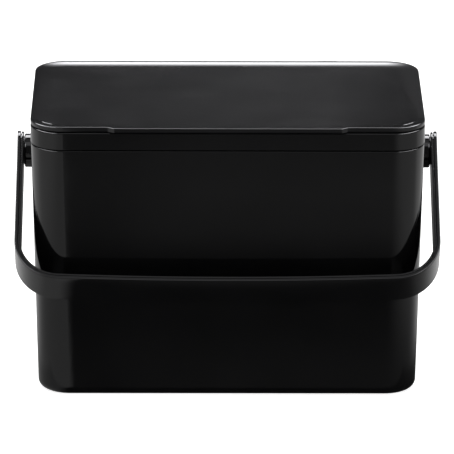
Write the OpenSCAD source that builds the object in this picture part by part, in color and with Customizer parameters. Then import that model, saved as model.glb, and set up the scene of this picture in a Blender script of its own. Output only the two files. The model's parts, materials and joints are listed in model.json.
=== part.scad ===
// Kitchen food-waste caddy: a drafted tub, a collar that hides the bag, a rear-hinged lid
// and a U-shaped handle that swings on two side bosses. Millimetres, +Z up, front is -Y.
// The origin is the middle of the flat base.

/* [Overall] */
// Width of the lid and the collar
lid_w = 265; // [255:1:275]
// Depth of the lid and the collar, without the finger lip
lid_d = 158; // [150:1:166]
// Radius of the four upright corners at the lid
corner_r = 22; // [20:0.5:26]

/* [Tub] */
// Height of the tub up to the parting line under the collar
tub_h = 175.3; // [172:0.1:182]
// How much each side leans in from the parting line to the base
draft = 3.75; // [2.5:0.25:4.5]
// Thickness of the tub's wall
wall = 2.2; // [2:0.1:2.5]
// Thickness of the tub's floor
floor_t = 2.5; // [2:0.1:3.5]
// Radius of the edge round the base
foot_r = 5.5; // [3:0.5:6]
// Step in from the collar's face to the tub's face
face_step = 0.3; // [0.2:0.05:0.5]

/* [Collar] */
// Height of the collar's face
collar_h = 12; // [11:0.5:13]
// Height of the shadow line between tub and collar
part_gap = 0.8; // [0.5:0.1:1.2]
// Thickness of the collar's wall and top
collar_t = 2.4; // [2:0.1:2.6]
// Room for the bag between the collar and the tub's neck
bag_gap = 0.5; // [0.4:0.05:0.6]
// Thickness of the skirt that hangs inside the neck
skirt_t = 1.6; // [1.2:0.1:1.8]
// Depth of the skirt below the collar's top
skirt_h = 17.3; // [15:0.1:20]
// Radius of the collar's top edges
collar_edge_r = 0.8; // [0.4:0.1:0.9]

/* [Lid] */
// Height of the shadow line between collar and lid
lid_gap = 1; // [0.8:0.1:1.4]
// Thickness of the lid's rim
rim_t = 1.8; // [1.6:0.1:2.2]
// Height of the raised top above the rim
top_rise = 1.4; // [1:0.1:1.8]
// Width of the rim beside and behind the raised top
rim_w = 5.5; // [5:0.5:7]
// Thickness of the lid's skin over the inner panel
skin_t = 1.7; // [1.5:0.1:1.8]
// Width of the finger lip along the front edge
lip_w = 152; // [120:1:170]
// How far the finger lip stands out
lip_out = 2.8; // [2:0.1:4]
// Depth of the rib under the lid that drops into the collar
rib_h = 6; // [4:0.5:7]

/* [Rear hinges] */
// Distance of each hinge from the middle
hinge_x = 70; // [50:1:85]
// Diameter of the hinge pins
hinge_pin_d = 3; // [2.5:0.1:3]
// Width of the lid's knuckle between the collar's lugs
knuckle_w = 14; // [10:0.5:18]
// Width of each lug on the collar
lug_w = 5; // [4:0.5:7]

/* [Handle] */
// Height of the handle's pivots above the base
pivot_z = 150.7; // [148:0.1:153]
// Angle between the resting handle and straight down
handle_lean = 51.7; // [51.7:0.1:56]
// Distance from the pivots to the outside of the grip
grip_reach = 114.5; // [114.5:0.1:118]
// Width of the handle's strap
strap_w = 26.8; // [24:0.1:27]
// Distance between the outsides of the handle's ends
handle_w = 286.2; // [286:0.1:288]
// How far each arm leans out between its end and its bend
arm_splay = 0.5; // [0:0.1:1]
// Radius of the handle's bends, outside
bend_r = 31; // [28:0.5:36]
// Radius of the grip's shallow bow, outside
bow_r = 2800; // [2600:100:4000]
// Thickness of the outer strap
strap_t = 2.4; // [2.3:0.05:2.5]
// Height of the dark groove between the two layers
groove_t = 0.5; // [0.4:0.05:0.6]
// Thickness of the inner strip
strip_t = 1.3; // [1.2:0.05:1.4]

/* [Pivots] */
// Diameter of the bosses on the tub
hub_d = 23; // [20:0.5:24]
// Diameter of the screw's smooth shoulder
shoulder_d = 8; // [7:0.5:9]
// Diameter of the screw's head
head_d = 13; // [12:0.5:13]
// Diameter of the recess for the head and the cap
recess_d = 15; // [14.5:0.5:16]
// Thickness of the washers
washer_t = 0.6; // [0.5:0.05:0.6]

/* [Hidden] */

$fn = 96;
fit = 0.05;         // radial clearance of running fits
black = [0.05, 0.05, 0.055];
soft_black = [0.09, 0.09, 0.1];
seal_grey = [0.2, 0.2, 0.21];
steel = [0.7, 0.7, 0.72];

// Centres of the upright corners, shared by tub, collar and lid
cx = lid_w / 2 - corner_r;
cy = lid_d / 2 - corner_r;

ramp_l = 4;         // each sloping end of the finger lip

// Heights
collar_z0 = tub_h + part_gap;
collar_z1 = collar_z0 + collar_h;
neck_z = collar_z1 - collar_t;
lid_z0 = collar_z1 + lid_gap;
rim_z = lid_z0 + rim_t;
lid_z1 = rim_z + top_rise;

// Distances outward from the corner centres
tub_r = corner_r - face_step;
foot_out = tub_r - draft;
neck_out = corner_r - collar_t - bag_gap;
neck_t = wall - 0.2;
skirt_room = 0.6;   // room for the bag's cuff, besides the gap for the bag
neck_in = neck_out - neck_t;
skirt_out = neck_in - bag_gap - skirt_room;
mouth_r = skirt_out - skirt_t;
lean = atan(draft / tub_h);

// Lid
panel_step = 0.3;   // the inner panel's recess stays this far inside the raised top
panel_r = corner_r - rim_w - panel_step;
panel_fit = 0.2;
panel_air = 0.05;   // room between the panel and the lid's skin
rib_t = 1.6;
rib_room = 0.8;
rib_r = mouth_r - rib_room;
rib_back_room = 3;
seal_edge = 0.1;    // the seal's inner edge stays this far behind the mouth's
seal_w = 3.9;
seal_in = mouth_r + seal_edge;
seal_out = seal_in + seal_w;
tongue_step = 0.15;
tongue_in = seal_in + tongue_step;
tongue_t = 0.9;
tongue_h = 0.8;
tongue_fit = 0.05;

// Hinge
hinge_back = 4.2;   // the hinge axis stands this far behind the lid's edge
hinge_drop = 4.8;   // and this far below the collar's top
hinge_y = lid_d / 2 + hinge_back;
hinge_z = collar_z1 - hinge_drop;
lug_r = 3.6;
knuckle_r = 3.4;
hinge_side_gap = 0.3;
hinge_pin_l = knuckle_w + 2 * (hinge_side_gap + lug_w);

// Handle, hanging straight down from its pivots
arm_x = handle_w / 2;
bend_x = arm_x + arm_splay;
layers_t = strap_t + groove_t + strip_t;
bow_a = asin((bend_x - bend_r) / (bow_r - bend_r));
bend_cx = bend_x - bend_r;
bend_cz = bow_r - grip_reach - (bow_r - bend_r) * cos(bow_a);
straight_l = 15;
strip_inset = 0.5;  // the inner strip's edge stays this far inside the strap's
web_inset = 2;      // and the web that fills the groove this far
strip_w = strap_w - 2 * strip_inset;
web_w = strap_w - 2 * web_inset;

// Pivot stack, measured along X from the tub's middle plane
hub_sink = 0.5;     // how deep each boss is set into the tub's side
washer_air = 0.1;   // room between each washer and the handle
recess_t = 1.6;
head_air = 0.05;    // room between the head and the floor of its recess
hub_x0 = cx + tub_r - draft * (tub_h - pivot_z) / tub_h - hub_sink;
hub_x1 = arm_x - layers_t - washer_air - washer_t;
recess_x = arm_x - recess_t;
head_x0 = recess_x + head_air;
head_t = 0.9;
cap_x0 = head_x0 + head_t;
thread_d = 4.4;
pilot_d = 4.5;
pilot_l = 5.6;
thread_l = 5;

// Points of an arc about c, from angle a0 to a1 in n steps
function spoke(r, a) = r * [cos(a), sin(a)];
function arc(c, r, a0, a1, n) = [for (i = [0:n]) c + spoke(r, a0 + (a1 - a0) * i / n)];

// Carries a section round a rounded rectangle: x is the distance outward from the corner
// centres, y is height. The corner centres are at +-ax and at -front and +back.
module around(ax, front, back) {
    mid = (back - front) / 2;
    translate([ax, back, 0]) rotate_extrude(angle = 90) children();
    translate([-ax, back, 0]) rotate([0, 0, 90]) rotate_extrude(angle = 90) children();
    translate([-ax, -front, 0]) rotate([0, 0, 180]) rotate_extrude(angle = 90) children();
    translate([ax, -front, 0]) rotate([0, 0, 270]) rotate_extrude(angle = 90) children();
    translate([ax, mid, 0]) rotate([90, 0, 0]) linear_extrude(front + back, center = true) children();
    translate([-ax, mid, 0]) rotate([90, 0, 180]) linear_extrude(front + back, center = true) children();
    translate([0, back, 0]) rotate([90, 0, 90]) linear_extrude(2 * ax, center = true) children();
    translate([0, -front, 0]) rotate([90, 0, 270]) linear_extrude(2 * ax, center = true) children();
}

// Flat rounded rectangle whose corner centres are at +-ax, -front and +back
module rounded(ax, front, back, r) {
    translate([-ax - r, -front]) square([2 * (ax + r), front + back]);
    translate([-ax, -front - r]) square([2 * ax, front + back + 2 * r]);
    for (x = [-ax, ax], y = [-front, back]) translate([x, y]) circle(r);
}

// Turns its children so that their Z runs along X
module along_x(x) {
    translate([x, 0, 0]) rotate([0, 90, 0]) children();
}

// Puts its children at the pivots' height, on the right or mirrored to the left
module at_pivot(side) {
    translate([0, 0, pivot_z]) mirror([side == "left" ? 1 : 0, 0, 0]) children();
}

// ---- Tub ----

module tub_section() {
    foot_c = [foot_out + foot_r * tan(lean) - foot_r / cos(lean), foot_r];
    extra_r = 0.5;
    inner_r = foot_r - floor_t + extra_r;
    inner_c = [foot_c[0], floor_t + inner_r];
    wall_in = tub_r - wall;
    ledge_z = tub_h - 1;
    polygon(concat(
        [[0, 0]],
        arc(foot_c, foot_r, -90, -lean, 10),
        [[tub_r, tub_h], [neck_out, tub_h], [neck_out, neck_z], [neck_in, neck_z]],
        [[neck_in, ledge_z], [wall_in, ledge_z - (wall_in - neck_in)]],
        arc(inner_c, inner_r, -lean, -90, 8),
        [[0, floor_t]]
    ));
}

module tub() {
    color(black) difference() {
        union() {
            around(cx, cy, cy) tub_section();
            translate([-cx, -cy, 0]) cube([2 * cx, 2 * cy, floor_t]);
        }
        for (side = ["left", "right"])
            at_pivot(side) along_x(hub_x0) cylinder(d = hub_d + 2 * fit, h = 10);
    }
}

module pivot_hub(side) {
    rib = [3, 2, 0.9];
    rib_x = hub_x1 - 4.5;
    rib_y = -hub_d / 2 - 0.5;
    rib_z = 0.6;
    color(black) at_pivot(side) difference() {
        union() {
            along_x(hub_x0) cylinder(d = hub_d, h = hub_x1 - hub_x0);
            translate([rib_x, rib_y, rib_z]) cube(rib);
        }
        along_x(hub_x1 - pilot_l) cylinder(d = pilot_d, h = pilot_l + 1);
    }
}

module pivot_washer(side) {
    washer_d = hub_d - 4;
    color(soft_black) at_pivot(side) along_x(hub_x1) difference() {
        cylinder(d = washer_d, h = washer_t);
        translate([0, 0, -1]) cylinder(d = shoulder_d + 2 * fit, h = washer_t + 2);
    }
}

module pivot_screw(side) {
    slot_w = 1.2;
    slot_d = 0.5;
    color(steel) at_pivot(side) difference() {
        union() {
            along_x(hub_x1 - thread_l) cylinder(d = thread_d, h = thread_l);
            along_x(hub_x1) cylinder(d = shoulder_d, h = head_x0 - hub_x1);
            along_x(head_x0) cylinder(d = head_d, h = head_t);
        }
        translate([cap_x0 - slot_d, -head_d, -slot_w / 2]) cube([slot_d + 1, 2 * head_d, slot_w]);
    }
}

// ---- Handle ----

// Half of the U's outline, t below its outer face: arm, bend, then the shallow bow to the middle
function half_path(t) = concat(
    [[arm_x - t, 0], [arm_x - t, -straight_l]],
    arc([bend_cx, bend_cz], bend_r - t, 0, bow_a - 90, 16),
    arc([0, bow_r - grip_reach], bow_r - t, bow_a * 5 / 6 - 90, -90, 5)
);
function reversed(p) = [for (i = [len(p) - 1:-1:0]) p[i]];
function u_path(t) = let(h = half_path(t)) concat(h, [for (i = [len(h) - 2:-1:0]) [-h[i][0], h[i][1]]]);

// One layer of the U, from depth out_t to in_t below its outer face, w wide
module strap_layer(out_t, in_t, w) {
    rotate([90, 0, 0]) linear_extrude(w, center = true)
        polygon(concat(u_path(out_t), reversed(u_path(in_t))));
    for (side = [0, 1]) mirror([side, 0, 0])
        along_x(arm_x - in_t) cylinder(d = w, h = in_t - out_t);
}

module in_handle() {
    translate([0, 0, pivot_z]) rotate([-handle_lean, 0, 0]) children();
}

module arm_bores(d, x, h) {
    for (side = [0, 1]) mirror([side, 0, 0]) along_x(x) cylinder(d = d, h = h);
}

module handle_strap() {
    color(black) in_handle() difference() {
        strap_layer(0, strap_t, strap_w);
        arm_bores(shoulder_d + 2 * fit, arm_x - 10, 20);
        arm_bores(recess_d, recess_x, 10);
    }
}

module handle_inner_strip() {
    color(soft_black) in_handle() difference() {
        union() {
            strap_layer(strap_t, strap_t + groove_t, web_w);
            strap_layer(strap_t + groove_t, layers_t, strip_w);
        }
        arm_bores(shoulder_d + 2 * fit, arm_x - 10, 20);
    }
}

module pivot_cap(side) {
    color(black) at_pivot(side) along_x(cap_x0) cylinder(d = recess_d - 2 * fit, h = arm_x - cap_x0);
}

// ---- Collar ----

module collar_section() {
    e = collar_edge_r;
    skirt_z = collar_z1 - skirt_h;
    polygon(concat(
        [[corner_r - collar_t, collar_z0], [corner_r, collar_z0]],
        arc([corner_r - e, collar_z1 - e], e, 0, 90, 6),
        arc([mouth_r + e, collar_z1 - e], e, 90, 180, 6),
        [[mouth_r, skirt_z], [skirt_out, skirt_z], [skirt_out, neck_z], [corner_r - collar_t, neck_z]]
    ));
}

// A round boss about the hinge axis, w wide, centred on x
module hinge_boss(x, w, d) {
    translate([x - w / 2, hinge_y, hinge_z]) rotate([0, 90, 0]) cylinder(d = d, h = w);
}

module liner_collar() {
    lug_x = (knuckle_w + lug_w) / 2 + hinge_side_gap;
    root_y = lid_d / 2 - 1;
    color(black) difference() {
        union() {
            around(cx, cy, cy) collar_section();
            for (h = [-hinge_x, hinge_x], s = [-lug_x, lug_x]) {
                hinge_boss(h + s, lug_w, 2 * lug_r);
                translate([h + s - lug_w / 2, root_y, hinge_z - lug_r])
                    cube([lug_w, hinge_y - root_y, 2 * lug_r]);
            }
        }
        for (h = [-hinge_x, hinge_x]) hinge_boss(h, hinge_pin_l + 2, hinge_pin_d + 0.04);
    }
}

module hinge_pin(side) {
    color(steel) hinge_boss(side == "left" ? -hinge_x : hinge_x, hinge_pin_l, hinge_pin_d);
}

// ---- Lid ----

module lid_outline() {
    half = lip_w / 2;
    ends = half + ramp_l;
    edge = lid_d / 2;
    rounded(cx, cy, cy, corner_r);
    polygon([
        [-ends, -edge + 1], [-ends, -edge], [-half, -edge - lip_out],
        [half, -edge - lip_out], [ends, -edge], [ends, -edge + 1]
    ]);
}

module lid_top_outline() {
    rounded(cx - rim_w, cy, cy - rim_w, corner_r);
}

// The arm that carries the lid's rim back and down to the hinge axis
module knuckle_arm() {
    edge = lid_d / 2;
    root = edge - 3;
    arm_z = rim_z - 0.2;
    shoulder = [edge + 5.5, lid_z0 - 0.1];
    front = hinge_y - knuckle_r + 0.1;
    back = hinge_y + knuckle_r;
    rotate([90, 0, 90]) linear_extrude(knuckle_w, center = true) polygon([
        [root, lid_z0], [root, arm_z], [edge, arm_z], shoulder,
        [back, hinge_z + 3], [back, hinge_z], [front, hinge_z], [front, lid_z0]
    ]);
}

module lid_cover() {
    color(black) difference() {
        union() {
            translate([0, 0, lid_z0]) linear_extrude(rim_t) lid_outline();
            translate([0, 0, rim_z]) linear_extrude(top_rise) intersection() {
                lid_outline();
                union() {
                    lid_top_outline();
                    translate([-lip_w / 2 - ramp_l, -lid_d]) square([lip_w + 2 * ramp_l, lid_d]);
                }
            }
            for (h = [-hinge_x, hinge_x]) {
                translate([h, 0, 0]) knuckle_arm();
                hinge_boss(h, knuckle_w, 2 * knuckle_r);
            }
        }
        translate([0, 0, lid_z0 - 1]) linear_extrude(lid_z1 - skin_t - lid_z0 + 1)
            rounded(cx, cy, cy, panel_r);
        for (h = [-hinge_x, hinge_x]) hinge_boss(h, knuckle_w + 2, hinge_pin_d + 2 * fit + 0.02);
    }
}

module lid_inner_panel() {
    panel_t = lid_z1 - skin_t - lid_z0 - panel_air;
    color(soft_black) difference() {
        union() {
            translate([0, 0, lid_z0]) linear_extrude(panel_t) rounded(cx, cy, cy, panel_r - panel_fit);
            around(cx, cy, cy - rib_back_room)
                translate([rib_r - rib_t, lid_z0 - rib_h]) square([rib_t, rib_h + 0.5]);
        }
        around(cx, cy, cy) translate([tongue_in - tongue_fit, lid_z0 - 1])
            square([tongue_t + 2 * tongue_fit, tongue_h + 1 + tongue_fit]);
    }
}

module lid_seal() {
    color(seal_grey) around(cx, cy, cy) {
        translate([seal_in, collar_z1]) square([seal_out - seal_in, lid_gap]);
        translate([tongue_in, lid_z0]) square([tongue_t, tongue_h]);
    }
}

tub();
pivot_hub("left");  // pivot_hub_left
pivot_hub("right");  // pivot_hub_right
pivot_washer("left");  // pivot_washer_left
pivot_washer("right");  // pivot_washer_right
pivot_screw("left");  // pivot_screw_left
pivot_screw("right");  // pivot_screw_right
handle_strap();
handle_inner_strip();
pivot_cap("left");  // pivot_cap_left
pivot_cap("right");  // pivot_cap_right
liner_collar();
hinge_pin("left");  // hinge_pin_left
hinge_pin("right");  // hinge_pin_right
lid_cover();
lid_inner_panel();
lid_seal();
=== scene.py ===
"""Looks of the kitchen food-waste caddy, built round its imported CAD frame.

Lengths are in metres, so sizes are written as millimetres times MM. The front is -Y.
"""
import json
import math

import bmesh
import bpy
from mathutils import Matrix, Vector


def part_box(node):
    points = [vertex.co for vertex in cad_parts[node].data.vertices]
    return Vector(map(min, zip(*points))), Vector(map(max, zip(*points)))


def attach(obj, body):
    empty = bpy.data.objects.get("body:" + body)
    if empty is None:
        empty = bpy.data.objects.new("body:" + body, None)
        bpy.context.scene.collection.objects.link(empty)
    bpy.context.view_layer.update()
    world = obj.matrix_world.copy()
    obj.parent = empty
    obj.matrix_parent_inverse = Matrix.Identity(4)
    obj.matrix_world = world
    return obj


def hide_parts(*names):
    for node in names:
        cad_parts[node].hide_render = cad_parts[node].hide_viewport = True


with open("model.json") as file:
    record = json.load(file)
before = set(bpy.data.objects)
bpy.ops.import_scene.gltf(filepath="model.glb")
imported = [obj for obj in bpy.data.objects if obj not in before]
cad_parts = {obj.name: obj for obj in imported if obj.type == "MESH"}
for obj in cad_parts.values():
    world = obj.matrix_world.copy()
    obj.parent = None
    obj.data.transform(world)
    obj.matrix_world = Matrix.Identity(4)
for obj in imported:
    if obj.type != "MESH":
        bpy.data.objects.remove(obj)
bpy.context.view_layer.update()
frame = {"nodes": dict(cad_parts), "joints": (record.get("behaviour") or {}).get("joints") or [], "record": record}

MM = 0.001

# ---- Sizes that the boxes of the CAD nodes don't give ----

CORNER_R = 22 * MM          # upright corners of lid, collar and tub
CORNER_STEPS = 28           # facets on each upright corner
DRAFT = 3.75 * MM           # how far the tub leans in from its top to its base
WALL = 2.2 * MM             # tub wall
FLOOR = 2.5 * MM            # tub floor
FOOT_R = 5.5 * MM           # edge round the base
NECK_T = 2 * MM             # neck that the collar sits on
FACE_STEP = 0.3 * MM        # the tub's face stands this far behind the collar's
PART_GAP = 0.8 * MM         # shadow line between tub and collar
COLLAR_H = 12 * MM          # collar face
COLLAR_T = 2.4 * MM         # collar wall and top
BAG_GAP = 0.5 * MM          # room for the bag between collar and neck
SKIRT_T = 1.6 * MM          # collar skirt
SKIRT_GAP = 0.6 * MM        # room between the bag and the skirt
RIB_T = 1.6 * MM            # rib under the lid, which drops inside the skirt
RIB_GAP = 0.8 * MM          # room between skirt and rib
RIB_REAR = 3 * MM           # extra room behind the rib, so that it can swing out
LID_GAP = 1 * MM            # shadow line between collar and lid
CREASE_W = 5.5 * MM         # inset of the creases at the lid's front corners
ROLL_W = 21 * MM            # soft slope along the lid's back, which fades along its sides
ROLL_DROP = 1.45 * MM       # how far that slope falls
CORNER_DROP = 0.28 * MM     # and how far the creases step down at the front corners
SKIN_T = 1.7 * MM           # lid skin
PANEL_R = 16.2 * MM         # recess for the inner panel, from the corner centres
LIP_W = 152 * MM            # finger lip
LIP_RAMP = 4 * MM           # each sloping end of the lip
KNUCKLE_W = 14 * MM         # lid knuckles
KNUCKLE_R = 3.4 * MM
ARM_REACH = 5.5 * MM        # how far the knuckles' arms run past the lid's back edge
LUG_W = 5 * MM              # collar lugs
LUG_R = 3.6 * MM
SIDE_GAP = 0.3 * MM         # room beside each knuckle
STRAP_W = 26.8 * MM         # handle strap
STRAP_T = 2.4 * MM          # its outer layer
STRIP_T = 1.3 * MM          # its inner layer
STRIP_INSET = 0.5 * MM      # the inner layer is this much narrower on each side
GROOVE_T = 0.5 * MM         # the groove between its layers
GROOVE_DEEP = 2 * MM        # depth of the groove
GROOVE_LIP = 0.25 * MM      # how far the outer layer's edge draws back from the groove
BEND_R = 31 * MM            # its bends, outside
BOW_R = 2800 * MM           # the grip's shallow bow, outside
ARM_SPLAY = 0.5 * MM        # how far each arm leans out
ARM_STRAIGHT = 15 * MM      # upright stretch below each pivot
HUB_R = 11.5 * MM           # bosses on the tub
RECESS_R = 7.5 * MM         # recess round each pivot cap
RECESS_T = 1.6 * MM
RECESS_FLARE = 0.25 * MM    # its rounded rim
SHOULDER_R = 4.05 * MM      # bore for each pivot screw
AXIS_R = 0.5 * MM           # turned pieces close with a small disc of this radius at their axis
HOLD = 0.25 * MM            # extra edge beside each curve, which keeps flat faces flat in shading

# ---- Places that the frame gives ----

joints = {joint["name"]: joint for joint in frame["joints"]}
pivot = Vector(joints["handle_swing"]["pos_m"])
hinge = Vector(joints["lid_hinge"]["pos_m"])
handle_lean = math.radians((360 - joints["handle_swing"]["range_deg"][1]) / 2)

_, tub_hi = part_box("tub")
collar_lo, collar_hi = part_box("liner_collar")
lid_lo, lid_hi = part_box("lid_cover")
panel_lo, panel_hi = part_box("lid_inner_panel")
strap_lo, strap_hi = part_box("handle_strap")

corner_x = collar_hi.x - CORNER_R       # centres of the upright corners
corner_y = -collar_lo.y - CORNER_R
neck_z = tub_hi.z
collar_z = neck_z + COLLAR_T            # top of the collar
tub_z = collar_z - COLLAR_H - PART_GAP  # top of the tub's face
lid_z = collar_z + LID_GAP              # underside of the lid's rim
lip_out = collar_lo.y - lid_lo.y
bend_x = strap_hi.x
arm_x = bend_x - ARM_SPLAY
grip_reach = (pivot.z - strap_lo.z - STRAP_W / 2 * math.sin(handle_lean)) / math.cos(handle_lean)


# ---- Outlines ----

def ease(value, start, end):
    """0 before start, 1 after end, smooth between."""
    t = min(max((value - start) / (end - start), 0), 1)
    return t * t * (3 - 2 * t)


def band(value, rise, top, fall, end):
    """0 before rise, 1 from top to fall, 0 after end, smooth between."""
    return ease(value, rise, top) * (1 - ease(value, fall, end))


def mix(a, b, t):
    """a where t is 0, b where it is 1."""
    return a + (b - a) * t


def rounded(corners, steps=6):
    """Outline through (a, b, radius) corners.

    A radius becomes an arc with a hold point outside each end.
    """
    outline = []
    for i, (a, b, radius) in enumerate(corners):
        at = Vector((a, b))
        if not radius:
            outline.append(at)
            continue
        to_last = Vector(corners[i - 1][:2]) - at
        to_next = Vector(corners[(i + 1) % len(corners)][:2]) - at
        u, v = to_last.normalized(), to_next.normalized()
        half = u.angle(v) / 2
        cut = radius / math.tan(half)
        centre = at + (u + v).normalized() * radius / math.sin(half)
        spoke = at + u * cut - centre
        end = at + v * cut - centre
        turn = math.atan2(spoke.x * end.y - spoke.y * end.x, spoke.dot(end))
        outline.append(centre + spoke + u * min(HOLD, (to_last.length - cut) / 3))
        for k in range(steps + 1):
            outline.append(centre + Matrix.Rotation(turn * k / steps, 2) @ spoke)
        outline.append(centre + end + v * min(HOLD, (to_next.length - cut) / 3))
    return outline


def plan_stations(steps=CORNER_STEPS):
    """Places round a rounded rectangle: (corner signs, outward angle, slide along the edge)."""
    stations = []
    for quarter, signs in enumerate(((1, 1), (-1, 1), (-1, -1), (1, -1))):
        for i in range(-1, steps + 2):
            angle = math.radians(90 * (quarter + min(max(i, 0), steps) / steps))
            slide = -HOLD if i < 0 else HOLD if i > steps else 0
            stations.append((signs, angle, slide))
    return stations


def plan_point(station, out, z, shift=0, rear=0):
    """A point at distance out from the corner centres.

    The centres move in by shift, and the ones at the back by rear too.
    """
    (sx, sy), angle, slide = station
    c, s = math.cos(angle), math.sin(angle)
    reach = out + shift
    y = sy * (corner_y - shift) - (rear if sy > 0 else 0)
    return Vector((sx * (corner_x - shift) + reach * c - slide * s, y + reach * s + slide * c, z))


# ---- Meshes ----

def skin(rows, wrap_rows=False, wrap_points=True, caps=False):
    """A surface through rows of points, as (points, faces). Caps close its first and last rows."""
    count = len(rows[0])
    faces = []
    for r in range(len(rows) if wrap_rows else len(rows) - 1):
        below, above = r * count, (r + 1) % len(rows) * count
        for c in range(count if wrap_points else count - 1):
            d = (c + 1) % count
            faces.append((below + c, below + d, above + d, above + c))
    if caps:
        faces.append(tuple(range(count)))
        faces.append(tuple(range(count * (len(rows) - 1), count * len(rows))))
    return [point for row in rows for point in row], faces


def swept(section, wrap=False, shift=None, rear=None):
    """Carries a section of (out, z) points round the plan.

    The section closes on itself, or is capped at both ends.
    """
    rows = []
    for out, z in section:
        s = shift(z) if shift else 0
        b = rear(out) if rear else 0
        rows.append([plan_point(station, out, z, s, b) for station in plan_stations()])
    return skin(rows, wrap_rows=wrap, caps=not wrap)


def turned(section, centre, side, steps=72):
    """Turns a section of (radius, x) points about the X axis through centre.

    Side is 1 on the right and -1 on the left.
    """
    rows = []
    for radius, x in section:
        turns = [2 * math.pi * k / steps for k in range(steps)]
        rows.append([
            Vector((side * x, centre.y + radius * math.cos(t), centre.z + radius * math.sin(t)))
            for t in turns])
    return skin(rows, caps=True)


def prism(outline, x0, x1, edge=0.4 * MM):
    """A block with a (y, z) outline, from x0 to x1, with rounded rims."""
    middle = sum(outline, Vector((0, 0))) / len(outline)
    rows = []
    arc = 4         # rows in each rounded rim
    for k in range(2 * arc):
        near = k < arc
        turn = math.radians(90) * (k if near else 2 * arc - 1 - k) / (arc - 1)
        inset, rise = edge * (1 - math.sin(turn)), edge * (1 - math.cos(turn))
        x = x0 + rise if near else x1 - rise
        rows.append([Vector((x, *(p - (p - middle).normalized() * inset))) for p in outline])
    return skin(rows, caps=True)


def built_of(skins):
    """A bmesh that holds the skins."""
    built = bmesh.new()
    for points, faces in skins:
        corners = [built.verts.new(point) for point in points]
        for face in faces:
            built.faces.new([corners[i] for i in face])
    return built


def piece(name, body, skins, material, stands_for, crisp=35):
    """Makes one object of closed skins, which rides on a body and stands for CAD nodes."""
    mesh = bpy.data.meshes.new(name)
    built = built_of(skins)
    bmesh.ops.remove_doubles(built, verts=built.verts, dist=1e-7)
    bmesh.ops.dissolve_degenerate(built, edges=built.edges, dist=1e-8)
    bmesh.ops.recalc_face_normals(built, faces=built.faces)
    finish_mesh(built, mesh, crisp)
    made = bpy.data.objects.new(name, mesh)
    bpy.context.scene.collection.objects.link(made)
    mesh.materials.append(material)
    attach(made, body)
    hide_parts(*stands_for)
    return made


def finish_mesh(built, mesh, crisp):
    """Writes a bmesh to a mesh, smooth except at edges sharper than crisp degrees."""
    for face in built.faces:
        face.smooth = True
    for edge in built.edges:
        edge.smooth = len(edge.link_faces) == 2 and edge.calc_face_angle(0) < math.radians(crisp)
    built.to_mesh(mesh)
    built.free()


def cut(made, cutters, crisp=35):
    """Takes closed skins out of an object's mesh."""
    for cutter in cutters:
        mesh = bpy.data.meshes.new("cutter")
        built = built_of([cutter])
        bmesh.ops.recalc_face_normals(built, faces=built.faces)
        finish_mesh(built, mesh, crisp)
        tool = bpy.data.objects.new("cutter", mesh)
        bpy.context.scene.collection.objects.link(tool)
        hole = made.modifiers.new("hole", "BOOLEAN")
        hole.operation = "DIFFERENCE"
        hole.solver = "EXACT"
        hole.object = tool
        depsgraph = bpy.context.evaluated_depsgraph_get()
        shaped = bpy.data.meshes.new_from_object(made.evaluated_get(depsgraph))
        made.modifiers.clear()
        made.data = shaped
        bpy.data.objects.remove(tool)
    built = bmesh.new()
    built.from_mesh(made.data)
    finish_mesh(built, made.data, crisp)


# ---- Materials ----

def node(tree, kind, **settings):
    """Adds a node. Names of sockets and of properties are settings alike."""
    made = tree.nodes.new(kind)
    for name, value in settings.items():
        if name in made.inputs:
            made.inputs[name].default_value = value
        else:
            setattr(made, name, value)
    return made


def noise(tree, place, scale, detail, stretch=(1, 1, 1)):
    """Noise of so many blobs a metre, fed by object coordinates."""
    spread = node(tree, "ShaderNodeMapping", Scale=stretch)
    made = node(tree, "ShaderNodeTexNoise", Scale=scale, Detail=detail, Roughness=0.55)
    tree.links.new(place.outputs["Object"], spread.inputs["Vector"])
    tree.links.new(spread.outputs["Vector"], made.inputs["Vector"])
    return made.outputs["Fac"]


def between(tree, value, low, high, start=0.35, end=0.65):
    """Maps a value from start..end to low..high."""
    made = tree.nodes.new("ShaderNodeMapRange")
    made.inputs["From Min"].default_value = start
    made.inputs["From Max"].default_value = end
    made.inputs["To Min"].default_value = low
    made.inputs["To Max"].default_value = high
    tree.links.new(value, made.inputs["Value"])
    return made.outputs["Result"]


def tinted(tree, shader, value, colour, dark, light):
    """Base colour that runs from dark to light times the colour as the value rises."""
    tint = tree.nodes.new("ShaderNodeMix")
    tint.data_type = "RGBA"
    tint.inputs["A"].default_value = (*[channel * dark for channel in colour], 1)
    tint.inputs["B"].default_value = (*[channel * light for channel in colour], 1)
    tree.links.new(between(tree, value, 0, 1), tint.inputs["Factor"])
    tree.links.new(tint.outputs["Result"], shader.inputs["Base Color"])


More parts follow.
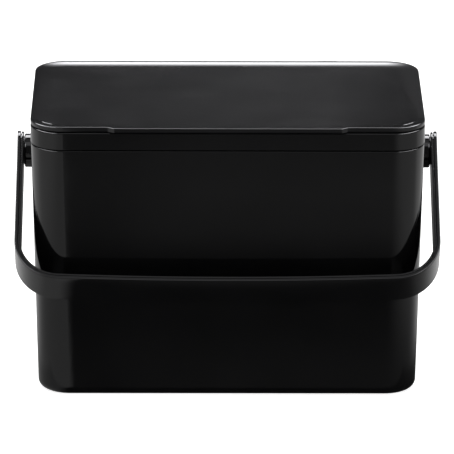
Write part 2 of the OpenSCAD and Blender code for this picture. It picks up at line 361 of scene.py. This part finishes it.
def moulded(name, colour, roughness, spread, peel_scale, peel_depth, hairlines=0.0):
    """Moulded plastic: faint flow clouds, uneven gloss, a skin texture and fine hairlines."""
    material = bpy.data.materials.new(name)
    material.use_nodes = True
    tree = material.node_tree
    shader = tree.nodes["Principled BSDF"]
    shader.inputs["IOR"].default_value = 1.5
    place = tree.nodes.new("ShaderNodeTexCoord")

    clouds = noise(tree, place, 22, 4)
    tinted(tree, shader, clouds, colour, 0.85, 1.15)

    gloss = between(tree, noise(tree, place, 40, 5), roughness - spread, roughness + spread)
    if hairlines:
        scratches = noise(tree, place, 60, 6, stretch=(0.4, 22, 22))
        lines = between(tree, scratches, 0, hairlines, start=0.66, end=0.74)
        total = node(tree, "ShaderNodeMath", operation="ADD")
        tree.links.new(gloss, total.inputs[0])
        tree.links.new(lines, total.inputs[1])
        gloss = total.outputs[0]
    tree.links.new(gloss, shader.inputs["Roughness"])

    peel = node(tree, "ShaderNodeBump", Strength=1.0, Distance=peel_depth)
    tree.links.new(noise(tree, place, peel_scale, 2), peel.inputs["Height"])
    tree.links.new(peel.outputs["Normal"], shader.inputs["Normal"])
    return material


def turned_steel(name, colour):
    """Plain steel with fine turning marks round the X axis."""
    material = bpy.data.materials.new(name)
    material.use_nodes = True
    tree = material.node_tree
    shader = tree.nodes["Principled BSDF"]
    shader.inputs["Metallic"].default_value = 1.0
    place = tree.nodes.new("ShaderNodeTexCoord")
    marks = noise(tree, place, 300, 3, stretch=(12, 1, 1))
    tinted(tree, shader, marks, colour, 0.8, 1)
    tree.links.new(between(tree, marks, 0.22, 0.4), shader.inputs["Roughness"])
    return material


colours = {entry["slot"]: entry["base_color"] for entry in frame["record"]["materials"]}
gloss_black = moulded("gloss_black", colours["gloss_black"], 0.06, 0.015, 260, 0.004 * MM)
lid_black = moulded("lid_black", colours["satin_black"], 0.11, 0.012, 320, 0.004 * MM,
                    hairlines=0.05)
inner_black = moulded("inner_black", colours["inner_black"], 0.42, 0.06, 2600, 0.03 * MM)
seal_rubber = moulded("seal_rubber", colours["seal"], 0.6, 0.06, 1800, 0.04 * MM)
steel = turned_steel("turned_steel", colours["steel"])


# ---- Tub ----

def tub_shift(z):
    """How far the corner centres move in there.

    The corners keep one radius while the walls lean in towards the base.
    """
    return DRAFT * (1 - min(z, tub_z) / tub_z)


def make_tub():
    """Floor, tapered walls, the step at the top and the neck that carries the collar."""
    face = CORNER_R - FACE_STEP
    neck = CORNER_R - COLLAR_T - BAG_GAP
    core = 10 * MM
    section = rounded([         # from the middle of the floor, up the inside, and down the outside
        (core, FLOOR, 0),
        (face - DRAFT - WALL, FLOOR, 4 * MM),
        (face - WALL, tub_z - 3 * MM, 1 * MM),
        (neck - NECK_T, tub_z - 1 * MM, 1 * MM),
        (neck - NECK_T, neck_z, 0.6 * MM),
        (neck, neck_z, 0.6 * MM),
        (neck, tub_z, 0.2 * MM),
        (face, tub_z, 0.6 * MM),
        (face - DRAFT, 0, FOOT_R),
        (core, 0, 0),
    ], steps=8)
    return piece("tub_shell", "tub", [swept(section, shift=tub_shift)], gloss_black,
                 ["tub"])


def make_hub(side_name, side):
    """A boss with a small rib on its front."""
    lo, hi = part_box("pivot_hub_" + side_name)
    inner, outer = sorted((abs(lo.x), abs(hi.x)))
    section = rounded([
        (AXIS_R, inner, 0), (HUB_R, inner, 0), (HUB_R, outer, 0.9 * MM), (AXIS_R, outer, 0),
    ], steps=5)
    front, back = lo.y, lo.y + 2 * MM
    low, high = pivot.z + 0.6 * MM, pivot.z + 1.5 * MM
    rib = [Vector(corner) for corner in ((front, low), (front, high), (back, high), (back, low))]
    rib_x = sorted((side * (outer - 4.5 * MM), side * (outer - 1.5 * MM)))
    skins = [turned(section, pivot, side), prism(rib, *rib_x, edge=0.2 * MM)]
    return piece("pivot_boss_" + side_name, "tub", skins, gloss_black,
                 ["pivot_hub_" + side_name])


# ---- Handle ----

def handle_stations():
    """Half of the U, from the arm's straight stretch to the middle of the grip.

    Each place is (x, z, inward x, inward z).
    """
    bow_angle = math.asin((bend_x - BEND_R) / (BOW_R - BEND_R))
    bend_z = BOW_R - grip_reach - (BOW_R - BEND_R) * math.cos(bow_angle)
    stations = []
    arm_steps = 3
    for k in range(arm_steps + 1):
        stations.append((arm_x, -ARM_STRAIGHT * k / arm_steps, -1, 0))
    stations.append((mix(arm_x, bend_x, 0.9), mix(-ARM_STRAIGHT, bend_z, 0.9), -1, 0))
    bend_steps = 30
    for k in range(bend_steps + 1):
        angle = (bow_angle - math.pi / 2) * k / bend_steps
        c, s = math.cos(angle), math.sin(angle)
        stations.append((bend_x - BEND_R + BEND_R * c, bend_z + BEND_R * s, -c, -s))
    bow_steps = 10
    for k in range(1, bow_steps + 1):
        angle = bow_angle * (1 - k / bow_steps)
        s, c = math.sin(angle), math.cos(angle)
        stations.append((BOW_R * s, BOW_R - grip_reach - BOW_R * c, -s, c))
    return stations


def handle_skin(edge):
    """A layer of the strap, with edge as its outline.

    Edge holds (inset from the strap's edge, depth below its outer face) points.
    """
    half = STRAP_W / 2
    swing = Matrix.Translation(pivot) @ Matrix.Rotation(-handle_lean, 4, "X")
    rows = []
    end_steps = 24
    for k in range(end_steps):
        angle = math.pi / 2 * k / end_steps
        s, c = math.sin(angle), math.cos(angle)
        near = [Vector((arm_x - t, (half - d) * s, (half - d) * c)) for d, t in edge]
        far = [Vector((arm_x - t, (d - half) * s, (half - d) * c)) for d, t in reversed(edge)]
        rows.append(near + far)
    for x, z, nx, nz in handle_stations():
        near = [Vector((x + nx * t, half - d, z + nz * t)) for d, t in edge]
        far = [Vector((x + nx * t, d - half, z + nz * t)) for d, t in reversed(edge)]
        rows.append(near + far)
    mirrored = [[Vector((-p.x, p.y, p.z)) for p in row] for row in reversed(rows[:-1])]
    rows = [[swing @ p for p in row] for row in rows + mirrored]
    return skin(rows)


def make_handle():
    """The strap's two layers, with the groove between them and the holes at the pivots."""
    middle = STRAP_W / 2
    crisp_r = 0.1 * MM
    lip_t = STRAP_T - GROOVE_LIP
    outer = rounded([
        (middle, 0, 0), (0, 0, 0.7 * MM), (0, lip_t, crisp_r), (GROOVE_DEEP - 0.4 * MM, lip_t, 0),
        (GROOVE_DEEP, STRAP_T, 0), (middle, STRAP_T, 0),
    ], steps=6)[1:-1]
    strap = piece("handle_outer_strap", "handle", [handle_skin(outer)], gloss_black,
                  ["handle_strap"])
    outside, inside = arm_x + 2 * MM, arm_x - 8 * MM        # clear of the strap on either side
    step = 0.08 * MM
    flared_r = RECESS_R + RECESS_FLARE
    recess = [
        (AXIS_R, arm_x - RECESS_T), (RECESS_R, arm_x - RECESS_T), (RECESS_R, arm_x - RECESS_FLARE),
        (RECESS_R + step, arm_x - step), (flared_r, arm_x), (flared_r, outside), (AXIS_R, outside),
    ]
    bore = [(AXIS_R, inside), (SHOULDER_R, inside), (SHOULDER_R, outside), (AXIS_R, outside)]
    recesses = [turned(recess, pivot, side) for side in (1, -1)]
    bores = [turned(bore, pivot, side) for side in (1, -1)]
    cut(strap, recesses + bores)

    plate_t = STRAP_T + GROOVE_T
    back_t = plate_t + STRIP_T
    inner = rounded([
        (middle, STRAP_T, 0), (GROOVE_DEEP, STRAP_T, crisp_r), (GROOVE_DEEP, plate_t, crisp_r),
        (STRIP_INSET, plate_t, crisp_r), (STRIP_INSET, back_t, 0.3 * MM), (middle, back_t, 0),
    ], steps=4)[1:-1]
    strip = piece("handle_inner_strap", "handle", [handle_skin(inner)], gloss_black,
                  ["handle_inner_strip"])
    cut(strip, bores)


def make_cap(side_name, side):
    """The cover over a pivot screw."""
    lo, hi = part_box("pivot_cap_" + side_name)
    inner, outer = sorted((abs(lo.x), abs(hi.x)))
    radius = (hi.y - lo.y) / 2
    axis_r = 0.3 * MM
    section = rounded([
        (axis_r, inner, 0), (radius, inner, 0), (radius, outer, 0.25 * MM), (axis_r, outer, 0),
    ], steps=4)
    return piece("screw_cap_" + side_name, "handle", [turned(section, pivot, side)], gloss_black,
                 ["pivot_cap_" + side_name])


# ---- Collar ----

def hinge_point(radius, angle):
    """(y, z) of a point round the hinge axis."""
    return Vector((hinge.y + radius * math.cos(angle), hinge.z + radius * math.sin(angle)))


def boss_outline(radius, root_y, root_lo, root_hi, steps=18):
    """(y, z) outline of a boss round the hinge axis whose root runs forward to root_y."""
    points = [Vector((root_y, root_hi)), Vector((root_y, root_lo))]
    for k in range(steps + 1):
        angle = math.pi * (k / steps - 0.5)
        points.append(hinge_point(radius, angle))
    return points


def skirt_out():
    """Distance of the collar skirt's outer face from the corner centres."""
    neck_in = CORNER_R - COLLAR_T - BAG_GAP - NECK_T
    return neck_in - BAG_GAP - SKIRT_GAP


def pin_places():
    """x of the middle of each hinge pin."""
    pins = ("hinge_pin_left", "hinge_pin_right")
    return [sum(corner.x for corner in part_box(pin)) / 2 for pin in pins]


def make_collar():
    """Outer wall, top, the skirt inside the tub's neck and the lugs of both hinges."""
    skirt_in = skirt_out() - SKIRT_T
    section = rounded([
        (CORNER_R - COLLAR_T, collar_z - COLLAR_H, 0.3 * MM),
        (CORNER_R, collar_z - COLLAR_H, 0.35 * MM),
        (CORNER_R, collar_z, 0.9 * MM),
        (skirt_in, collar_z, 0.8 * MM),
        (skirt_in, collar_lo.z, 0.5 * MM),
        (skirt_out(), collar_lo.z, 0.5 * MM),
        (skirt_out(), neck_z, 0.4 * MM),
        (CORNER_R - COLLAR_T, neck_z, 0.4 * MM),
    ], steps=6)
    skins = [swept(section, wrap=True)]
    lug = boss_outline(LUG_R, -collar_lo.y - 1 * MM, hinge.z - LUG_R, hinge.z + LUG_R)
    offset = (KNUCKLE_W + LUG_W) / 2 + SIDE_GAP
    for pin_x in pin_places():
        for x in (pin_x - offset, pin_x + offset):
            skins.append(prism(lug, x - LUG_W / 2, x + LUG_W / 2))
    return piece("collar_ring", "collar", skins, gloss_black, ["liner_collar"])


# ---- Lid ----

def lid_stations():
    """Places round the lid: (station, lip). Lip is how far the finger lip stands out there."""
    stations = [(station, 0) for station in plan_stations()]
    half = LIP_W / 2
    soft = 1.2 * MM
    path = rounded([
        (-corner_x, 0, 0), (-half - LIP_RAMP, 0, soft), (-half, lip_out, soft),
        (half, lip_out, soft), (half + LIP_RAMP, 0, soft), (corner_x, 0, 0),
    ], steps=5)[1:-1]
    front = [(((-1, -1), math.radians(270), p.x + corner_x), p.y) for p in path]
    before_front = 3 * (CORNER_STEPS + 3)       # the stations of three corners
    return stations[:before_front] + front + stations[before_front:]


def lid_edge(station):
    """How the top meets the rim there: (slope width, its fall, its power, edge radius).

    Power 2 is a soft roll. Below 1 the fall comes at the slope's inner end, as a crease.
    """
    (sx, sy), angle, slide = station
    if sy > 0:
        return ROLL_W, ROLL_DROP, 2, 1 * MM
    sideways = abs(math.cos(angle))
    corner = abs(math.sin(2 * angle))
    front_drop, front_r, side_r = 0.04 * MM, 0.55 * MM, 0.8 * MM
    fall = mix(front_drop, CORNER_DROP, corner)
    return CREASE_W, fall, mix(1, 0.15, corner), mix(front_r, side_r, sideways)


def make_lid_top():
    """The lid's skin as rows round it: from under its roof, round the rim, up to the flat top."""
    stations = lid_stations()
    rows = []
    under_roof = 14 * MM
    roof = lid_hi.z - SKIN_T
    for out, z in ((under_roof, roof), (PANEL_R, roof), (PANEL_R, lid_z)):
        rows.append([plan_point(station, out, z) for station, lip in stations])

    def rim(station, lip, inset, z):
        return plan_point(station, CORNER_R - inset, z) + Vector((0, -lip, 0))

    foot_r = 0.3 * MM
    rows.append([rim(station, lip, foot_r, lid_z) for station, lip in stations])
    for k in range(3):
        turn = math.radians(45 * k)
        inset, rise = foot_r * (1 - math.sin(turn)), foot_r * (1 - math.cos(turn))
        rows.append([rim(station, lip, inset, lid_z + rise) for station, lip in stations])
    edge_steps = 8
    for k in range(-1, edge_steps + 1):
        turn = math.radians(90 * max(k, 0) / edge_steps)
        row = []
        for station, lip in stations:
            width, fall, power, edge_r = lid_edge(station)
            top = lid_hi.z - fall
            z = top - edge_r + edge_r * math.sin(turn) - (HOLD if k < 0 else 0)
            row.append(rim(station, lip, edge_r * (1 - math.cos(turn)), z))
        rows.append(row)
    slope_steps = 24
    for k in range(1, slope_steps + 1):
        row = []
        for station, lip in stations:
            width, fall, power, edge_r = lid_edge(station)
            share = k / slope_steps
            z = lid_hi.z - fall * (1 - share) ** power
            row.append(rim(station, lip * (1 - share), edge_r + (width - edge_r) * share, z))
        rows.append(row)
    for extra in (HOLD, 0.8 * MM):          # less than CORNER_R - ROLL_W, or the corners fold over
        rows.append([
            plan_point(station, CORNER_R - lid_edge(station)[0] - extra, lid_hi.z)
            for station, lip in stations])
    return skin(rows, caps=True)


def make_lid():
    """The lid's skin with the arm and knuckle of both hinges."""
    edge = -collar_lo.y
    root = edge - 3 * MM        # the arm starts inside the lid's rim
    arm_top = lid_hi.z - ROLL_DROP - 0.35 * MM
    arm = [Vector(p) for p in (
        (root, lid_z), (root, arm_top), (edge, arm_top), (edge + ARM_REACH, lid_z - 0.1 * MM),
        (hinge.y + KNUCKLE_R, hinge.z + 3 * MM))]
    steps = 12
    for k in range(steps + 1):
        angle = -math.pi * k / steps
        arm.append(hinge_point(KNUCKLE_R, angle))
    arm.append(Vector((hinge.y - KNUCKLE_R, lid_z)))
    skins = [make_lid_top()]
    for pin_x in pin_places():
        skins.append(prism(arm, pin_x - KNUCKLE_W / 2, pin_x + KNUCKLE_W / 2))
    return piece("lid_shell", "lid", skins, lid_black, ["lid_cover"], crisp=30)


def make_lid_panel():
    """Inner panel of the lid, with the rib that drops inside the collar's skirt."""
    rib_out = panel_rib_out()
    core = 6 * MM       # the section starts this far from the corner centres
    rib_in = rib_out - RIB_T
    face = panel_hi.x - corner_x
    section = rounded([
        (core, lid_z, 0),
        (rib_in, lid_z, 0.5 * MM),
        (rib_in, panel_lo.z, 0.5 * MM),
        (rib_out, panel_lo.z, 0.5 * MM),
        (rib_out, lid_z, 0.2 * MM),
        (face, lid_z, 0.3 * MM),
        (face, panel_hi.z, 0.3 * MM),
        (core, panel_hi.z, 0),
    ], steps=5)
    fillet = 0.8 * MM   # and the rib's rounded foot lies this far beside it

    def rear(out):
        """Only the rib and its foot move in at the back."""
        return RIB_REAR if rib_in - fillet < out < rib_out + fillet else 0

    return piece("lid_liner", "lid", [swept(section, rear=rear)], inner_black,
                 ["lid_inner_panel"])


def panel_rib_out():
    """Distance of the rib's outer face from the corner centres."""
    return skirt_out() - SKIRT_T - RIB_GAP


def make_seal():
    """Gasket between collar and lid, with a tongue that the lid holds it by."""
    lo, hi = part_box("lid_seal")
    outer = hi.x - corner_x
    inner = panel_rib_out() + 0.9 * MM
    tongue_in = inner + 0.15 * MM
    tongue_out = tongue_in + 0.9 * MM
    section = rounded([
        (outer, collar_z, 0.4 * MM), (outer, lid_z, 0.15 * MM), (tongue_out, lid_z, 0),
        (tongue_out, hi.z, 0), (tongue_in, hi.z, 0), (tongue_in, lid_z, 0),
        (inner, lid_z, 0), (inner, collar_z, 0.4 * MM),
    ], steps=4)
    return piece("seal_ring", "lid", [swept(section, wrap=True)], seal_rubber, ["lid_seal"])


make_tub()
for side_name, side in (("left", -1), ("right", 1)):
    make_hub(side_name, side)
    make_cap(side_name, side)
make_handle()
make_collar()
make_lid()
make_lid_panel()
make_seal()
carried = {"pivot_washer": inner_black, "pivot_screw": steel, "hinge_pin": steel}
for node_name, finish in carried.items():
    for side_name in ("left", "right"):
        mesh = frame["nodes"][node_name + "_" + side_name].data
        mesh.materials.clear()
        mesh.materials.append(finish)


# ---- Studio ----

def grid(name, rows, wrap, light):
    """A stage surface that only mirror rays see. Light gives its brightness at a point."""
    mesh = bpy.data.meshes.new(name)
    points, faces = skin(rows, wrap_points=wrap)
    mesh.from_pydata(points, [], faces)
    shade = mesh.attributes.new("shade", "FLOAT_COLOR", "POINT")
    for i, point in enumerate(points):
        shade.data[i].color = (*light(point), 1)
    made = bpy.data.objects.new(name, mesh)
    bpy.context.scene.collection.objects.link(made)
    material = bpy.data.materials.new(name)
    material.use_nodes = True
    material.cycles.emission_sampling = "NONE"
    tree = material.node_tree
    tree.nodes.clear()
    colour = node(tree, "ShaderNodeAttribute", attribute_name="shade")
    glow = tree.nodes.new("ShaderNodeEmission")
    end = tree.nodes.new("ShaderNodeOutputMaterial")
    tree.links.new(colour.outputs["Color"], glow.inputs["Color"])
    tree.links.new(glow.outputs["Emission"], end.inputs["Surface"])
    mesh.materials.append(material)
    made.visible_camera = False
    made.visible_diffuse = False
    made.visible_shadow = False
    made.visible_transmission = False


def room_light(point):
    """Brightness of the room that the gloss sees.

    There are softboxes at the sides and high up, and a bright strip low behind. Angles are in
    degrees: height is above the horizon, and bearing runs from 0 behind to 180 in front.
    """
    direction = point.normalized()
    height = math.degrees(math.asin(direction.z))
    bearing = math.degrees(math.atan2(direction.x, direction.y))
    away = abs(bearing)
    behind = 1 - ease(away, 60, 110)
    sideways = 1 - ease(abs(away - 90), 45, 72)
    low_back = 4.4 * band(height, 5.5, 8, 9, 16.5) * (1 - ease(away, 2.2, 6))
    dip = 0.6 * band(bearing, 2.3, 3.3, 4, 5.5)
    wall = mix(0.06, 0.118, ease(bearing, -3, 3)) * (1 - dip)
    back = low_back + wall + 10 * band(height, 36, 42, 62, 70)
    front = 0.1 + 1.1 * band(height, 46, 54, 74, 80)
    side = 0.12 + 14 * band(height, 34, 40, 50, 58)
    light = mix(mix(front, back, behind), side, sideways)
    light = mix(light, 0.5, ease(height, 78, 83))
    cool = 1.03
    return light, light, light * cool


def floor_light(point):
    """Brightness of the floor that the gloss sees: a painted reflection of the floor, with the tub's shadows and
    the lit floor round them painted in.

    A dark lane runs ahead of the tub, with a hard edge on the left and a soft one on the right: painted shadow of
    tub and handle. Another runs behind it, painted shadow too. Near is the strip of floor close to the tub,
    painted darker as its contact shadow.
    """
    ahead = max(collar_lo.y - point.y, 0)
    out_x = abs(point.x)
    # near: painted contact shadow, a strip of the floor card darkened right beside the tub
    near = (1 - ease(ahead, 4 * MM, 12 * MM)) * (1 - ease(out_x, 150 * MM, 180 * MM))
    # the lane's left edge follows the painted shadow of tub and handle, shifted further out next to the tub
    edge = 105 * MM + 0.04 * ahead + 9 * MM * near
    # the dark lane ahead of the tub: painted shadow of tub and handle, lighter further out
    lane = mix(0.03, 0.17, ease(ahead, 225 * MM, 345 * MM)) - 0.06 * ease(ahead, 400 * MM, 600 * MM)
    lane += 0.04 * (1 - ease(ahead, 20 * MM, 140 * MM))
    lane *= mix(0.6, 1, ease(point.x, -100 * MM, -20 * MM))
    # painted contact shadow: the lane goes almost black next to the tub
    lane = mix(lane, 0.008, near)
    blur = mix(1.5 * MM, 7 * MM, near)
    # painted light: the lit floor either side of the dark lane; on the left it is dimmed near the tub by the
    # painted contact shadow
    left = ease(-point.x, edge - blur, edge + blur)
    right = ease(point.x, edge - 25 * MM, edge + 300 * MM)
    left_light = mix(mix(0.42, 0.6, ease(-point.x, 200 * MM, 500 * MM)), 0.3, near)
    light = mix(lane, left_light, left)
    light = mix(light, 0.45, right)
    # painted light: the floor beside the tub, towards the back, brighter still
    flank = ease(point.y, -80 * MM, 80 * MM) * ease(out_x, 140 * MM, 220 * MM)
    light = mix(light, 0.75, flank)
    # painted shadow of the tub on the floor behind it, lighter further back
    shade = ease(point.y, 20 * MM, 110 * MM) * (1 - ease(out_x, 130 * MM, 200 * MM))
    light = mix(light, mix(0.05, 0.16, ease(point.y, 200 * MM, 480 * MM)), shade)
    # painted dark reflection far behind, which darkens the lid's back edge
    far = ease(point.y, 900 * MM, 1100 * MM) * (1 - ease(out_x, 900 * MM, 1400 * MM))
    light = mix(light, 0.04, far)
    return light, light, light


def spaced(limit, fine, steps, coarse_steps=12):
    """Lines both ways from 0: so many steps of fine, then wider ones out to limit."""
    near = [fine * k for k in range(steps + 1)]
    growth = limit / near[-1]
    far = [near[-1] * growth ** (k / coarse_steps) for k in range(1, coarse_steps + 1)]
    return [-v for v in reversed(near[1:] + far)] + near + far


def add_studio():
    """The room that the gloss mirrors, a painted reflection of the floor with the tub's shadows in it, the pale
    floor and world, and one softbox.
    """
    radius, steps = 6, 240
    dome = []
    for k in range(1, steps):
        height = math.pi * (k / steps - 0.5)
        flat, up = math.cos(height), math.sin(height)
        turns = [math.pi * m / steps for m in range(2 * steps)]
        dome.append([radius * Vector((flat * math.cos(t), flat * math.sin(t), up)) for t in turns])
    grid("mirror_room", dome, True, room_light)
    lines = spaced(3.0, 2 * MM, 160)
    carpet = [[Vector((x, y, 0.2 * MM)) for x in lines] for y in lines]
    grid("painted_floor_reflection", carpet, False, floor_light)

    floor_mesh = bpy.data.meshes.new("floor")
    size = 12
    corners = [(-size, -size, 0), (size, -size, 0), (size, size, 0), (-size, size, 0)]
    floor_mesh.from_pydata(corners, [], [(0, 1, 2, 3)])
    floor = bpy.data.objects.new("floor", floor_mesh)
    bpy.context.scene.collection.objects.link(floor)
    pale = bpy.data.materials.new("pale_floor")
    pale.use_nodes = True
    paint = pale.node_tree.nodes["Principled BSDF"]
    paint.inputs["Base Color"].default_value = (0.9, 0.9, 0.9, 1)
    paint.inputs["Roughness"].default_value = 0.9
    paint.inputs["Specular IOR Level"].default_value = 0.0
    paint.inputs["Emission Color"].default_value = (1, 1, 1, 1)
    paint.inputs["Emission Strength"].default_value = 0.75
    floor_mesh.materials.append(pale)
    floor.visible_glossy = False        # the gloss sees painted_floor_reflection in its place

    world = bpy.data.worlds.new("studio")
    bpy.context.scene.world = world
    world.use_nodes = True
    backdrop = world.node_tree.nodes["Background"]
    backdrop.inputs["Color"].default_value = (1, 1, 1, 1)
    backdrop.inputs["Strength"].default_value = 1.0

    softbox = bpy.data.lights.new("overhead_softbox", "AREA")
    softbox.shape = "RECTANGLE"
    softbox.size = 2.4
    softbox.size_y = 2.0
    softbox.energy = 14
    lamp = bpy.data.objects.new("overhead_softbox", softbox)
    lamp.location = (-0.4, -0.6, 2.6)
    aim = Vector((0, 0, 0.1)) - lamp.location
    lamp.rotation_euler = aim.to_track_quat("-Z", "Y").to_euler()
    lamp.visible_camera = False
    lamp.visible_glossy = False
    bpy.context.scene.collection.objects.link(lamp)


def add_camera():
    """Long lens, a little above the object and a hair to the left of its middle."""
    distance = 3.742
    elevation = math.radians(18.7)
    bearing = math.radians(-0.33)
    roll = math.radians(0.2)
    target = Vector((0.05 * MM, 0, 95.5 * MM))
    flat, up = math.cos(elevation), math.sin(elevation)
    back = Vector((math.sin(bearing) * flat, -math.cos(bearing) * flat, up))
    lens = bpy.data.cameras.new("camera")
    lens.lens = 432.1
    lens.clip_end = 40
    camera = bpy.data.objects.new("camera", lens)
    turn = (-back).to_track_quat("-Z", "Y").to_matrix().to_4x4() @ Matrix.Rotation(roll, 4, "Z")
    camera.matrix_world = Matrix.Translation(target + back * distance) @ turn
    bpy.context.scene.collection.objects.link(camera)
    bpy.context.scene.camera = camera


add_studio()
add_camera()
bpy.context.scene.view_settings.view_transform = "Standard"
